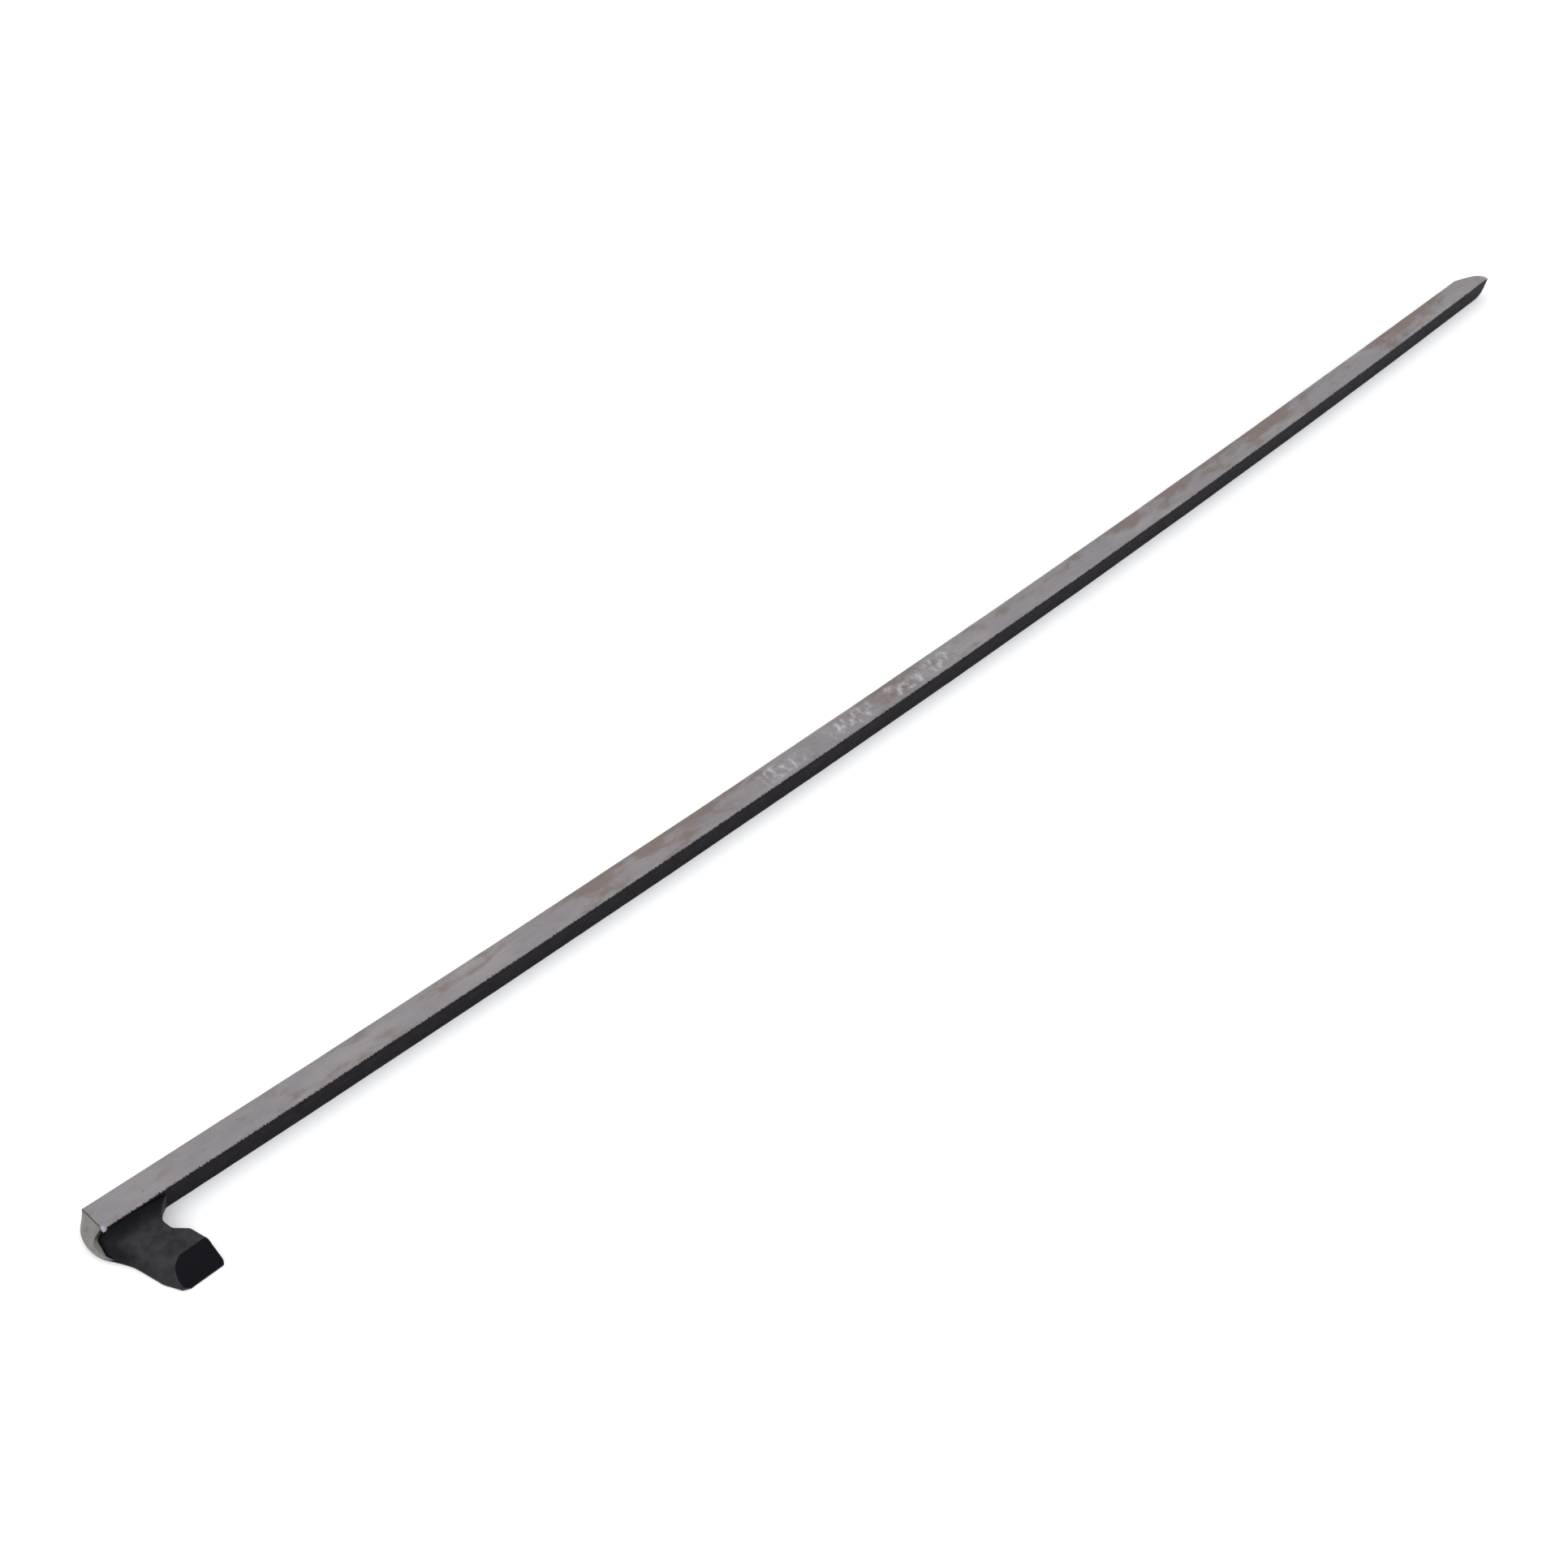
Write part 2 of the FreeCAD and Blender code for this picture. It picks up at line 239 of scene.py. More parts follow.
def head_gaps(mesh, x_start):
    """Each vertex's distance in millimetres from the other pieces, or FAR_GAP well along the bar."""
    points = [v.co for v in mesh.vertices]
    close = [i for i, p in enumerate(points) if p.x < x_start + HEAD_REACH * MM]
    gaps = np.full(len(points), FAR_GAP)
    gaps[close] = gap_to([points[i] for i in close], ["nose", "heel_cap", "root_weld", "throat_weld"])
    return gaps


def make_bar():
    """The bar, with each vertex's place on it stored for its material."""
    rng = random.Random(7)
    sides = bar_sides()
    x_start, x_end = sides[0][0], sides[-1][0]
    nicks = [
        (rng.uniform(*NICK_PLACE), rng.uniform(*NICK_REACH), rng.uniform(*NICK_DEPTH))
        for _ in range(NICKS)
    ]
    rings, places = [], []
    for x, near, far, foot, top in sides:
        along, left = (x - x_start) / MM, (x_end - x) / MM
        far -= FAR_TAPER * MM * smoothstep(*TAPER_REACH, left) * smoothstep(0, TAPER_END, left)
        most = MOST_RADIUS * min(far - near, top - foot)
        ring, facing = bar_ring(along, near, far, foot, top, edge_radii(along, nicks, most))
        rings.append([(x, y, z) for y, z in ring])
        places += [(along, (y - near) / MM, z / MM, up) for (y, z), up in zip(ring, facing)]

    mesh = skin("shank_bar", rings)
    for name, values in zip(("bar_along", "bar_across", "bar_height", "bar_up"), zip(*places)):
        set_attribute(mesh, name, values)
    set_attribute(mesh, "gap", head_gaps(mesh, x_start))
    return add_piece("shank_bar", mesh, ["shank"])


# ---------------------------------------------------------------- forged pieces

# Lengths are in millimetres.
ON_SURFACE = 0.03        # a vertex this close to the bar lies on it
BAR_END_MARGIN = 0.3     # at the bar's head end, where nothing is run into it
FOOT_MARGIN = 1.0        # at the foot, where nothing is run into it either
INTO_BAR = 1.2           # how far the forged pieces run on into the bar
INTO_NOSE = 1.6          # how far the throat weld's back end runs on into the nose
BEAD_RUN = 6.5           # how far the root weld's front end runs on over the throat weld
BEAD_HEIGHT = 0.75       # its height there, as a share of the height it had
BEAD_DROP = 0.5          # how far it sinks there
END_FACE = 0.05          # a vertex this close to a piece's end is part of its end face
CRISP_DEPTH = 0.25       # behind the cut face, where edges stay crisp
CRISP_FADE = 1.5         # over which softening comes in behind that
CRISP_SOFTENING = 0.06   # the share of the softening that the crisp edges still get
SOFTENING_STEP = 0.6     # the share of the way to its neighbours' mean that a vertex moves at once
LUMP_RATE = 0.16         # how fast the lumps and the grain vary, per millimetre
GRAIN_RATE = 0.9
EDGE_PROUD = 0.05        # how proud an edge stands, in voxels
PROUD_ROUNDS = 4         # of smoothing for that measure
SAME_WAY = 0.999         # two directions whose product is above this are the same
SIDEWAYS = -0.9          # the y of a normal that looks out of the bar's near side is below this


def neighbour_mean(mesh):
    """A function that gives each vertex the mean of its neighbours' values."""
    count = len(mesh.vertices)
    edges = np.zeros(len(mesh.edges) * 2, int)
    mesh.edges.foreach_get("vertices", edges)
    a, b = edges.reshape(-1, 2).T
    around = np.maximum(np.bincount(a, minlength=count) + np.bincount(b, minlength=count), 1)

    def mean(values):
        columns = values.reshape(count, -1)
        total = np.stack(
            [np.bincount(a, c[b], count) + np.bincount(b, c[a], count) for c in columns.T], axis=1
        )
        return (total / around[:, None]).reshape(values.shape)

    return mean


def points_of(mesh, kind="co"):
    """The mesh's vertex places, or its vertex normals, as rows of x, y and z."""
    values = np.zeros(len(mesh.vertices) * 3)
    mesh.vertices.foreach_get(kind, values)
    return values.reshape(-1, 3)


def convexity(mesh, voxel):
    """How far each vertex stands proud of its neighbours: about -1 in a hollow and 1 on an edge."""
    mean = neighbour_mean(mesh)
    points, normals = points_of(mesh), points_of(mesh, "normal")
    proud = ((points - mean(points)) * normals).sum(1) / (voxel * MM)
    for _ in range(PROUD_ROUNDS):
        proud = 0.5 * proud + 0.5 * mean(proud)
    return np.clip(proud / EDGE_PROUD, -1, 1)


def box_of(nodes):
    """The lowest and highest corners of a box round all of these CAD nodes."""
    lows, highs = zip(*(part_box(n) for n in nodes))
    low = Vector([min(p[i] for p in lows) for i in range(3)])
    return low, Vector([max(p[i] for p in highs) for i in range(3)])


def run_on(node, vertices, bar_tree):
    """Carry a copied CAD node's vertices a little way into the pieces that it is joined to."""
    low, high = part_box(node)
    bar_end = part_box("shank")[0].x + BAR_END_MARGIN * MM
    for vertex in vertices:
        _, normal, _, apart = bar_tree.find_nearest(vertex.co)
        on_side = apart < ON_SURFACE * MM and normal.y < SIDEWAYS
        if on_side and vertex.co.z > FOOT_MARGIN * MM and vertex.co.x > bar_end:
            vertex.co.y += INTO_BAR * MM
        if node == "throat_weld" and vertex.co.x < low.x + END_FACE * MM:
            vertex.co.x -= INTO_NOSE * MM
        if node == "root_weld" and vertex.co.x > high.x - END_FACE * MM:
            vertex.co.x += BEAD_RUN * MM
            vertex.co.z = low.z + BEAD_HEIGHT * (vertex.co.z - low.z) - BEAD_DROP * MM


def joined(name, nodes):
    """One object holding copies of these CAD nodes' meshes, run on into what they are joined to."""
    mesh = bpy.data.meshes.new(name)
    made = bmesh.new()
    bar_tree = tree_of("shank")
    for node in nodes:
        first_new = len(made.verts)
        made.from_mesh(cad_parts[node].data)
        made.verts.ensure_lookup_table()
        run_on(node, made.verts[first_new:], bar_tree)
    made.to_mesh(mesh)
    made.free()
    rough = bpy.data.objects.new(name, mesh)
    bpy.context.scene.collection.objects.link(rough)
    return rough


def from_cut_face(points):
    """Each point's distance in millimetres from the plane of the nose's slanted outer face."""
    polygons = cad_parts["nose"].data.polygons
    faces = [p for p in polygons if p.normal.dot(CUT_FACE) > SAME_WAY]
    on_face = max(faces, key=lambda p: p.area).center
    return (points - np.array(on_face)) @ np.array(CUT_FACE) / MM


def soften(mesh, rounds, keeps_cut_face):
    """Round the mesh's edges, but where asked leave the edges of the nose's cut face crisp."""
    mean = neighbour_mean(mesh)
    points = points_of(mesh)
    weight = np.ones(len(points))
    if keeps_cut_face:
        apart = np.clip((np.abs(from_cut_face(points)) - CRISP_DEPTH) / CRISP_FADE, 0, 1)
        weight = CRISP_SOFTENING + (1 - CRISP_SOFTENING) * apart
    for _ in range(rounds):
        points += SOFTENING_STEP * weight[:, None] * (mean(points) - points)
    mesh.vertices.foreach_set("co", points.ravel())
    mesh.update()


def roughen(mesh, lumps, grain, low, high):
    """Sink the surface by up to this depth of lumps and of grain, within a box."""
    moved = []
    for vertex in mesh.vertices:
        place = vertex.co / MM
        depth = lumps * (0.5 + 0.5 * wave(*(c * LUMP_RATE for c in place)))
        depth += grain * (0.5 + 0.5 * wave(*(c * GRAIN_RATE for c in place), 3))
        sunk = vertex.co - vertex.normal * depth * MM
        moved.append([min(max(p, l), h) for p, l, h in zip(sunk, low, high)])
    mesh.vertices.foreach_set("co", np.array(moved).ravel())
    mesh.update()


def make_forged(nodes, name, neighbours, voxel, rounds, lumps, grain):
    """CAD nodes remeshed evenly as one, edges softened and faces made slightly uneven.

    voxel is the mesh's fineness, and lumps and grain are the depths of the unevenness, all in
    millimetres. rounds is how many times the edges are softened.
    """
    rough = joined(name, nodes)
    remesh = rough.modifiers.new("Even", "REMESH")
    remesh.mode = "VOXEL"
    remesh.voxel_size = voxel * MM
    mesh = bpy.data.meshes.new_from_object(rough.evaluated_get(bpy.context.evaluated_depsgraph_get()))
    bpy.data.objects.remove(rough)
    mesh.name = name
    mesh.materials.clear()
    soften(mesh, rounds, "nose" in nodes)
    roughen(mesh, lumps, grain, *box_of(nodes))
    set_attribute(mesh, "proud", convexity(mesh, voxel))
    set_attribute(mesh, "gap", gap_to([v.co for v in mesh.vertices], neighbours))
    return add_piece(name, mesh, nodes)


# ---------------------------------------------------------------- materials


def opaque(colour):
    """A plain colour with its alpha, or a linked colour as it is."""
    return (*colour, 1.0) if isinstance(colour, tuple) else colour


class Graph:
    """A short way to write a material's nodes. An input is a number, a colour or another output."""

    def __init__(self, name):
        self.material = bpy.data.materials.new(name)
        self.material.use_nodes = True
        self.tree = self.material.node_tree
        self.tree.nodes.clear()

    def feed(self, socket, value):
        """Link another node's output to this input, or give it a value of its own."""
        if isinstance(value, bpy.types.NodeSocket):
            self.tree.links.new(value, socket)
        else:
            socket.default_value = value

    def add(self, kind, inputs=(), output=0, **settings):
        """One of the outputs of a new node with these inputs and settings."""
        made = self.tree.nodes.new(kind)
        for key, value in settings.items():
            setattr(made, key, value)
        for key, value in dict(inputs).items():
            self.feed(made.inputs[key], value)
        return made.outputs[output]

    def attribute(self, name):
        return self.add("ShaderNodeAttribute", output="Fac", attribute_name=name)

    def math(self, operation, a, b, clamp=False):
        return self.add("ShaderNodeMath", {0: a, 1: b}, operation=operation, use_clamp=clamp)

    def times(self, a, b):
        return self.math("MULTIPLY", a, b)

    def plus(self, a, b):
        return self.math("ADD", a, b)

    def stretch(self, vector, scale):
        return self.add("ShaderNodeVectorMath", {0: vector, 1: scale}, operation="MULTIPLY")

    def shift(self, vector, by):
        return self.add("ShaderNodeVectorMath", {0: vector, 1: by}, operation="ADD")

    def noise(self, vector, scale=1.0, detail=3.0, roughness=0.55, distortion=0.0):
        inputs = {"Vector": vector, "Scale": scale, "Detail": detail, "Roughness": roughness,
                  "Distortion": distortion}
        return self.add("ShaderNodeTexNoise", inputs)

    def step(self, value, low, high, to_low=0.0, to_high=1.0):
        """Goes smoothly from to_low to to_high as value goes from low to high."""
        inputs = {"Value": value, "From Min": low, "From Max": high, "To Min": to_low, "To Max": to_high}
        return self.add("ShaderNodeMapRange", inputs, interpolation_type="SMOOTHSTEP")

    def stretches(self, along, spans, fade):
        """Near 1 inside each of these stretches of the bar, fading to 0 across their ends."""
        total = None
        for start, end in spans:
            window = self.times(self.step(along, start - fade, start + fade),
                                self.step(along, end - fade, end + fade, 1.0, 0.0))
            total = window if total is None else self.math("MAXIMUM", total, window)
        return total

    def mix(self, amount, a, b):
        """Colour a, turning into colour b as amount goes from 0 to 1."""
        inputs = {0: amount, 6: opaque(a), 7: opaque(b)}
        return self.add("ShaderNodeMix", inputs, output=2, data_type="RGBA")

    def blend(self, amount, a, b):
        """The same for numbers."""
        return self.add("ShaderNodeMix", {0: amount, 2: a, 3: b})

    def bump(self, height, distance, strength=1.0, normal=None):
        """Relief from height, distance millimetres deep, on top of any relief already there."""
        inputs = {"Height": height, "Distance": distance * MM, "Strength": strength}
        if normal is not None:
            inputs["Normal"] = normal
        return self.add("ShaderNodeBump", inputs)

    def millimetres(self):
        """The place on the object, in millimetres."""
        place = self.add("ShaderNodeTexCoord", output="Object")
        return self.add("ShaderNodeVectorMath", {0: place, 3: 1 / MM}, operation="SCALE")

    def finish(self, specular, **sockets):
        """The material, its surface fed from these sockets."""
        shader = self.tree.nodes.new("ShaderNodeBsdfPrincipled")
        self.feed(shader.inputs["Specular IOR Level"], specular)
        for key, value in sockets.items():
            self.feed(shader.inputs[key.replace("_", " ")], value)
        output = self.tree.nodes.new("ShaderNodeOutputMaterial")
        self.tree.links.new(shader.outputs[0], output.inputs[0])
        return self.material


class BarGraph(Graph):
    """A graph that also knows the place on the bar, in millimetres along, across and up it."""

    def __init__(self, name):
        super().__init__(name)
        self.along = self.attribute("bar_along")
        self.across = self.attribute("bar_across")
        self.height = self.attribute("bar_height")
        self.place = self.add("ShaderNodeCombineXYZ", {0: self.along, 1: self.across, 2: self.height})


def clean_steel(g, cloud, streak, fine):
    """The bright faces' colour before stains and chalk."""
    broad = g.noise(g.stretch(g.place, (0.022, 0.09, 0.09)), detail=3.0)
    colour = g.mix(g.step(cloud, 0.3, 0.7), (0.214, 0.198, 0.204), (0.248, 0.231, 0.237))
    colour = g.mix(g.step(broad, 0.45, 0.72, 0.0, 0.8), colour, (0.285, 0.268, 0.270))
    colour = g.mix(g.step(streak, 0.5, 0.75, 0.0, 0.3), colour, (0.165, 0.151, 0.154))
    return g.mix(g.step(fine, 0.5, 0.8, 0.0, 0.22), colour, (0.345, 0.33, 0.325))


def brown_stain(g):
    """Where the bar is stained, mostly towards the far edge of a few stretches."""
    stained = g.stretches(g.along, STAINED, 22.0)
    from_far = g.step(g.across, 2.0, 9.5)
    stain = g.noise(g.shift(g.stretch(g.place, (0.060, 0.20, 0.20)), (9.0, 40.0, 0.0)), detail=5.0,
                    roughness=0.62, distortion=0.4)
    stain = g.plus(stain, g.times(from_far, g.plus(g.times(stained, 0.15), 0.04)))
    stain = g.plus(stain, g.times(stained, 0.045))
    return g.step(stain, 0.52, 0.74, 0.0, 0.75)


def chalk_dust(g):
    """Where chalk dust is rubbed into the top, in a few stretches about the middle of the bar."""
    rubbed = g.stretches(g.along, CHALKED, 5.0)
    rubbed = g.times(rubbed, g.step(g.across, 1.0, 2.8))
    rubbed = g.times(rubbed, g.step(g.across, 7.4, 9.2, 1.0, 0.0))
    dust = g.noise(g.shift(g.stretch(g.place, (0.34, 0.30, 0.30)), (3.0, 8.0, 0.0)), detail=5.0,
                   roughness=0.6)
    chalk = g.times(rubbed, g.step(dust, 0.45, 0.72))
    return g.times(chalk, g.step(g.height, 8.5, 9.5))


def dark_scale_and_shade(g, cloud):
    """The dark sides' colour: dark scale, made dark enough to stand in for the sides' shade too, so
    partly painted shade; rustier towards the point.
    """
    colour = g.mix(g.step(cloud, 0.35, 0.65), (0.0038, 0.0028, 0.0046), (0.0082, 0.0062, 0.0086))
    rust = g.noise(g.shift(g.stretch(g.place, (0.12, 0.35, 0.35)), (50.0, 2.0, 0.0)), detail=5.0,
                   roughness=0.65)
    toward_tip = g.step(g.along, 730.0, 800.0, 0.0, 0.10)
    return g.mix(g.step(g.plus(rust, toward_tip), 0.55, 0.78, 0.0, 0.7), colour, (0.030, 0.019, 0.015))


def scale_and_shade_cover(g, ragged):
    """Where the dark scale and its painted shade lie: on the two sides, and raggedly over the near edge.
    """
    lip = g.step(ragged, 0.35, 0.75, 0.05, 0.70)
    over_edge = g.step(g.math("SUBTRACT", g.across, lip), -0.2, 0.4, 1.0, 0.0)
    uneven = g.times(g.math("SUBTRACT", ragged, 0.5), 0.5)
    on_side = g.step(g.plus(g.attribute("bar_up"), uneven), 0.45, 0.75, 1.0, 0.0)
    return g.math("MAXIMUM", over_edge, on_side)


def bar_steel():
    """Satin steel on the top and foot and dark scale on the two sides, whose darkness is partly painted
    shade, with stains, chalk, painted shade where it meets the other pieces and a painted highlight on
    the chipped corner.
    """
    g = BarGraph("bar_steel")
    cloud = g.noise(g.stretch(g.place, (0.16, 0.3, 0.3)), detail=4.0, roughness=0.6)
    streak = g.noise(g.stretch(g.place, (0.035, 1.7, 1.7)), detail=4.0, roughness=0.6)
    fine = g.noise(g.stretch(g.place, (0.9, 3.2, 3.2)), detail=4.0, roughness=0.65)
    specks = g.noise(g.shift(g.stretch(g.place, (0.75, 0.95, 0.95)), (31.0, 5.0, 0.0)), detail=2.0)
    ragged = g.noise(g.stretch(g.place, (1.6, 0.4, 0.4)), detail=4.0, roughness=0.75)

    stain = brown_stain(g)
    bright = g.mix(stain, clean_steel(g, cloud, streak, fine), (0.158, 0.120, 0.099))
    bright = g.mix(g.step(specks, 0.70, 0.78, 0.0, 0.7), bright, (0.115, 0.075, 0.055))
    chalk = chalk_dust(g)
    bright = g.mix(g.times(chalk, 0.7), bright, (0.47, 0.47, 0.50))
    # Painted shade where the bar meets the other pieces.
    crevice_shade = g.step(g.attribute("gap"), 0.05, 0.75, 1.0, 0.0)
    bright = g.mix(g.times(crevice_shade, 0.75), bright, (0.045, 0.038, 0.040))

    # The sides' colour is dark scale that also stands in for their shade.
    scale_and_shade = scale_and_shade_cover(g, ragged)
    colour = g.mix(scale_and_shade, bright, dark_scale_and_shade(g, cloud))
    # A painted highlight on the chipped corner's bare metal.
    chip_highlight = g.times(g.step(g.along, 0.6, 1.6, 1.0, 0.0), g.step(g.across, 0.9, 2.0, 1.0, 0.0))
    chip_highlight = g.times(chip_highlight, g.step(g.height, 8.6, 9.2))
    colour = g.mix(chip_highlight, colour, (0.33, 0.32, 0.37))

    rough = g.step(g.plus(cloud, g.times(fine, 0.5)), 0.45, 1.05, 0.34, 0.58)
    rough = g.plus(rough, g.times(stain, 0.16))
    rough = g.math("ADD", rough, g.times(chalk, 0.3), clamp=True)
    rough = g.blend(scale_and_shade, rough, g.step(fine, 0.3, 0.8, 0.50, 0.68))
    metal = g.blend(g.math("MAXIMUM", scale_and_shade, chalk), 0.85, 0.0)
    metal = g.times(metal, g.math("SUBTRACT", 1.0, g.times(stain, 0.6)))
    relief = g.bump(streak, 0.05)
    relief = g.bump(fine, 0.045, normal=relief)
    relief = g.bump(g.times(ragged, scale_and_shade), 0.22, normal=relief)
    return g.finish(0.05, Base_Color=colour, Roughness=rough, Metallic=metal, Normal=relief)


def forged_black():
    """Satin black forging scale, with its proud edges rubbed lighter as wear and painted highlight, a
    painted sheen on the body, and painted shade on the cut face and near the bar and the heel.
    """
    g = Graph("forged_black")
    place = g.millimetres()
    proud = g.attribute("proud")
    gap = g.attribute("gap")
    broad = g.noise(place, scale=0.075, detail=2.0)
    mottle = g.noise(place, scale=0.40, detail=5.0, roughness=0.6)
    grain = g.noise(place, scale=2.6, detail=4.0, roughness=0.7)
    pits = g.add("ShaderNodeTexVoronoi", {"Vector": place, "Scale": 0.9, "Randomness": 1.0})

    colour = g.mix(g.step(mottle, 0.30, 0.72), (0.0062, 0.0062, 0.0084), (0.0118, 0.0116, 0.0134))
    colour = g.mix(g.step(broad, 0.44, 0.66, 0.0, 0.8), colour, (0.0250, 0.0245, 0.0252))
    colour = g.mix(g.step(grain, 0.62, 0.85, 0.0, 0.45), colour, (0.034, 0.033, 0.034))
    rust = g.noise(g.shift(place, (7.0, 19.0, 3.0)), scale=0.22, detail=6.0, roughness=0.7)
    colour = g.mix(g.step(rust, 0.56, 0.76, 0.0, 0.5), colour, (0.034, 0.027, 0.019))
    # Painted highlight, partly edge wear: proud edges rubbed lighter away from the bar.
    rubbed = g.times(g.step(proud, 0.2, 0.9), g.step(mottle, 0.3, 0.6, 0.1, 0.3))
    rubbed = g.times(rubbed, g.step(gap, 2.0, 7.0))
    colour = g.mix(rubbed, colour, (0.044, 0.042, 0.044))
    # Painted highlight: a soft sheen on the body away from the bar and the heel, weaker low down near
    # the floor.
    height = g.add("ShaderNodeSeparateXYZ", {0: place}, output=2)
    body = g.times(g.step(gap, 3.0, 9.0), g.step(mottle, 0.35, 0.65, 0.35, 0.65))
    body = g.times(body, g.step(height, 1.0, 7.0, 0.3, 1.0))
    colour = g.mix(body, colour, (0.038, 0.037, 0.038))

    # Painted shade: the slanted outer face, turned away from the light, is kept evenly darker.
    normal = g.add("ShaderNodeNewGeometry", output="True Normal")
    facing = g.add("ShaderNodeVectorMath", {0: normal, 1: CUT_FACE}, output="Value",
                   operation="DOT_PRODUCT")
    cut = g.step(facing, 0.93, 0.985)
    colour = g.mix(g.times(cut, 0.95), colour, (0.0018, 0.0020, 0.0042))
    # Painted shade close to the bar and the heel.
    sheltered_shade = g.times(g.step(gap, 0.3, 6.0, 1.0, 0.0), 0.92)
    colour = g.mix(sheltered_shade, colour, (0.0030, 0.0027, 0.0042))

    rough = g.step(mottle, 0.3, 0.75, 0.40, 0.54)
    rough = g.math("SUBTRACT", rough, g.step(proud, 0.3, 1.0, 0.0, 0.08))
    relief = g.bump(mottle, 0.16)
    relief = g.bump(grain, 0.06, normal=relief)
    relief = g.bump(g.step(pits, 0.0, 0.35), 0.04, strength=0.6, normal=relief)
    return g.finish(0.055, Base_Color=colour, Roughness=rough, Metallic=0.0, Normal=relief)


def ground_steel():
    """Bare steel, ground round the heel, with a painted highlight along its proud edges and a dark line
    of painted shade where it meets the bar and the nose.
    """
    g = Graph("ground_steel")
    place = g.millimetres()
    proud = g.attribute("proud")
    gap = g.attribute("gap")
    lines = g.noise(g.stretch(place, (2.6, 0.30, 3.4)), detail=4.0, roughness=0.65)
    cloud = g.noise(place, scale=0.32, detail=4.0, roughness=0.6)
    grain = g.noise(place, scale=3.0, detail=3.0, roughness=0.65)
    colour = g.mix(g.step(cloud, 0.3, 0.7), (0.150, 0.138, 0.127), (0.196, 0.182, 0.168))
    colour = g.mix(g.step(lines, 0.5, 0.75, 0.0, 0.5), colour, (0.120, 0.108, 0.098))
    # Painted highlight: lighter along the heel's proud edges.
    colour = g.mix(g.step(proud, 0.3, 1.0, 0.0, 0.5), colour, (0.24, 0.23, 0.22))
    rust = g.noise(g.shift(place, (3.0, 8.0, 1.0)), scale=0.5, detail=5.0, roughness=0.7)
    colour = g.mix(g.step(rust, 0.60, 0.76, 0.0, 0.55), colour, (0.095, 0.068, 0.052))
    # Painted shade: a dark line where the heel meets the bar and the nose.
    crevice_shade = g.step(gap, 0.10, 0.55, 1.0, 0.0)
    colour = g.mix(g.times(crevice_shade, 0.8), colour, (0.050, 0.045, 0.048))
    rough = g.step(g.plus(lines, cloud), 0.7, 1.3, 0.36, 0.56)
    metal = g.math("SUBTRACT", 0.85, g.times(crevice_shade, 0.6))
    relief = g.bump(lines, 0.05)
    relief = g.bump(grain, 0.03, normal=relief)
    return g.finish(0.4, Base_Color=colour, Roughness=rough, Metallic=metal, Normal=relief)


def pale_floor():
    """A nearly even pale grey."""
    g = Graph("pale_floor")
    place = g.add("ShaderNodeTexCoord", output="Object")
    tone = g.noise(place, scale=3.0, detail=2.0)
    colour = g.mix(tone, (0.93, 0.93, 0.932), (0.945, 0.945, 0.945))
    return g.finish(0.1, Base_Color=colour, Roughness=0.8, Metallic=0.0)


# ---------------------------------------------------------------- build

bar = make_bar()
bar.data.materials.append(bar_steel())

nose = make_forged(["nose", "throat_weld", "root_weld"], "nose_forging",
                   ["shank", "heel_cap"], voxel=0.20, rounds=26, lumps=0.05, grain=0.025)
nose.data.materials.append(forged_black())

heel = make_forged(["heel_cap"], "heel_band",
                   ["shank", "nose"], voxel=0.14, rounds=7, lumps=0.04, grain=0.015)
heel.data.materials.append(ground_steel())

# ---------------------------------------------------------------- floor, light and camera

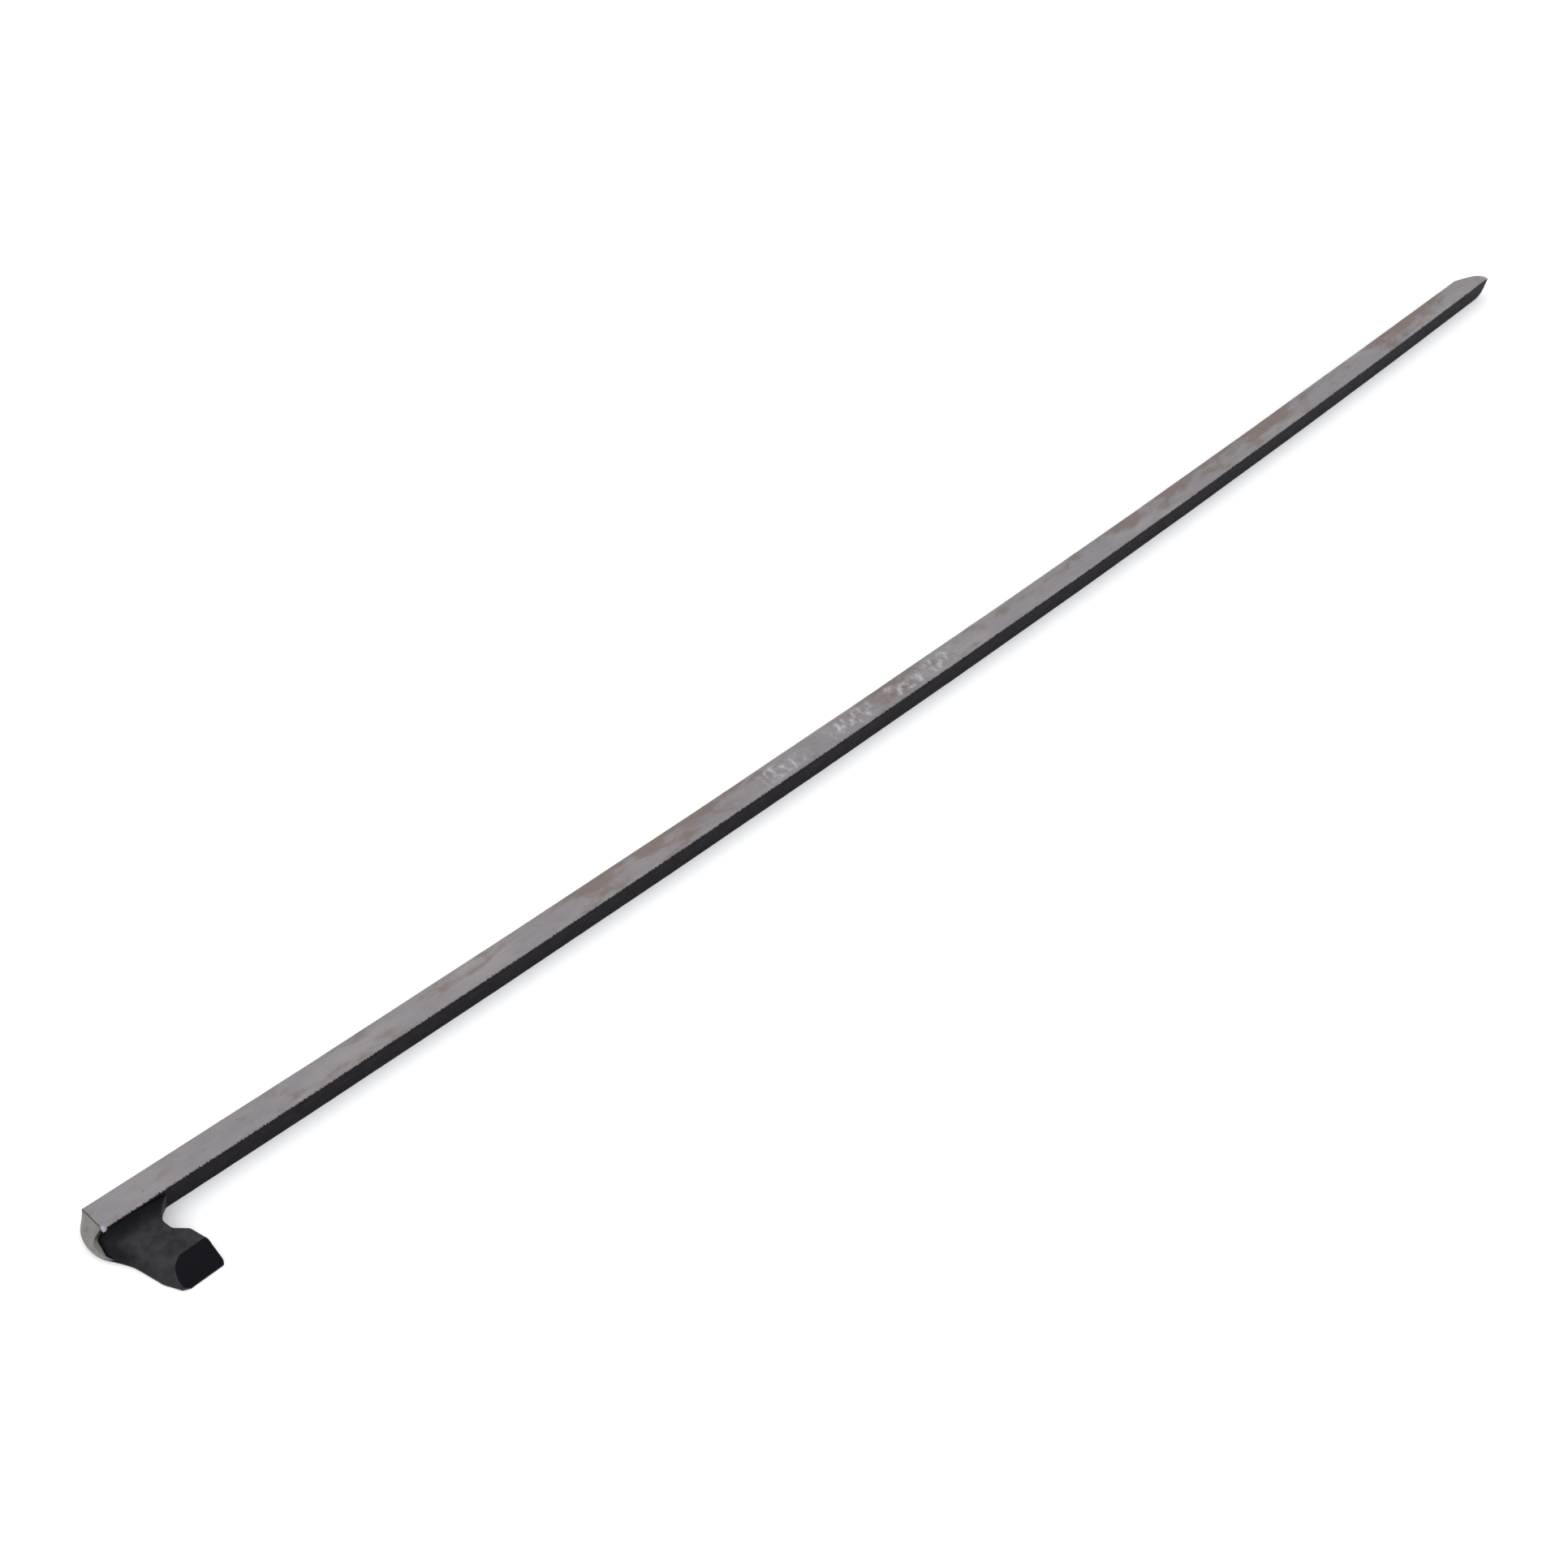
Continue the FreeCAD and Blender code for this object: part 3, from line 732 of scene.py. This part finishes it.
# Lengths are in metres, but the lens and its sensor are in millimetres. Each lamp has a name, a
# place, the length of its sides and a power in watts.
FLOOR_HALF = 6.0
LAMPS = (("soft_key", (-1.7, 1.1, 1.5), 2.2, 20), ("soft_fill", (-1.2, -1.6, 2.2), 2.8, 12))
SKY_COLOUR = (0.97, 0.98, 1.0, 1.0)
SKY_STRENGTH = 1.2
CAMERA_TARGET = Vector((-0.1036, 0.0016, 0.010))
CAMERA_LOOK = Vector((0.5951, 0.3553, -0.7209)).normalized()
CAMERA_DISTANCE = 0.9877
CAMERA_ROLL = math.radians(15.58)
CAMERA_LENS = 63.93
CAMERA_SENSOR = 36
CAMERA_NEAREST = 0.01


def add_floor():
    """A floor under the part, which is scenery only."""
    half = FLOOR_HALF
    mesh = bpy.data.meshes.new("floor")
    mesh.from_pydata(
        [(-half, -half, 0), (half, -half, 0), (half, half, 0), (-half, half, 0)], [], [(0, 1, 2, 3)]
    )
    mesh.materials.append(pale_floor())
    floor = bpy.data.objects.new("floor", mesh)
    bpy.context.scene.collection.objects.link(floor)


def add_lamp(name, place, side, power, target):
    """A square lamp, turned to face the target."""
    light = bpy.data.lights.new(name, "AREA")
    light.shape = "RECTANGLE"
    light.size, light.size_y = side, side
    light.energy = power
    lamp = bpy.data.objects.new(name, light)
    lamp.location = place
    lamp.rotation_euler = (target - Vector(place)).to_track_quat("-Z", "Y").to_euler()
    bpy.context.scene.collection.objects.link(lamp)


def add_camera():
    """The camera, placed and turned as the photo was taken."""
    data = bpy.data.cameras.new("camera")
    data.sensor_width = CAMERA_SENSOR
    data.lens = CAMERA_LENS
    data.clip_start = CAMERA_NEAREST
    camera = bpy.data.objects.new("camera", data)
    bpy.context.scene.collection.objects.link(camera)
    turn = CAMERA_LOOK.to_track_quat("-Z", "Y").to_matrix().to_4x4()
    turn = turn @ Matrix.Rotation(CAMERA_ROLL, 4, "Z")
    camera.matrix_world = Matrix.Translation(CAMERA_TARGET - CAMERA_LOOK * CAMERA_DISTANCE) @ turn
    bpy.context.scene.camera = camera


add_floor()
for name, place, side, power in LAMPS:
    add_lamp(name, place, side, power, (cad_box[0] + cad_box[1]) / 2)
add_camera()

world = bpy.data.worlds.new("studio")
bpy.context.scene.world = world
world.use_nodes = True
sky = world.node_tree.nodes["Background"].inputs
sky["Color"].default_value = SKY_COLOUR
sky["Strength"].default_value = SKY_STRENGTH
bpy.context.scene.view_settings.view_transform = "Standard"
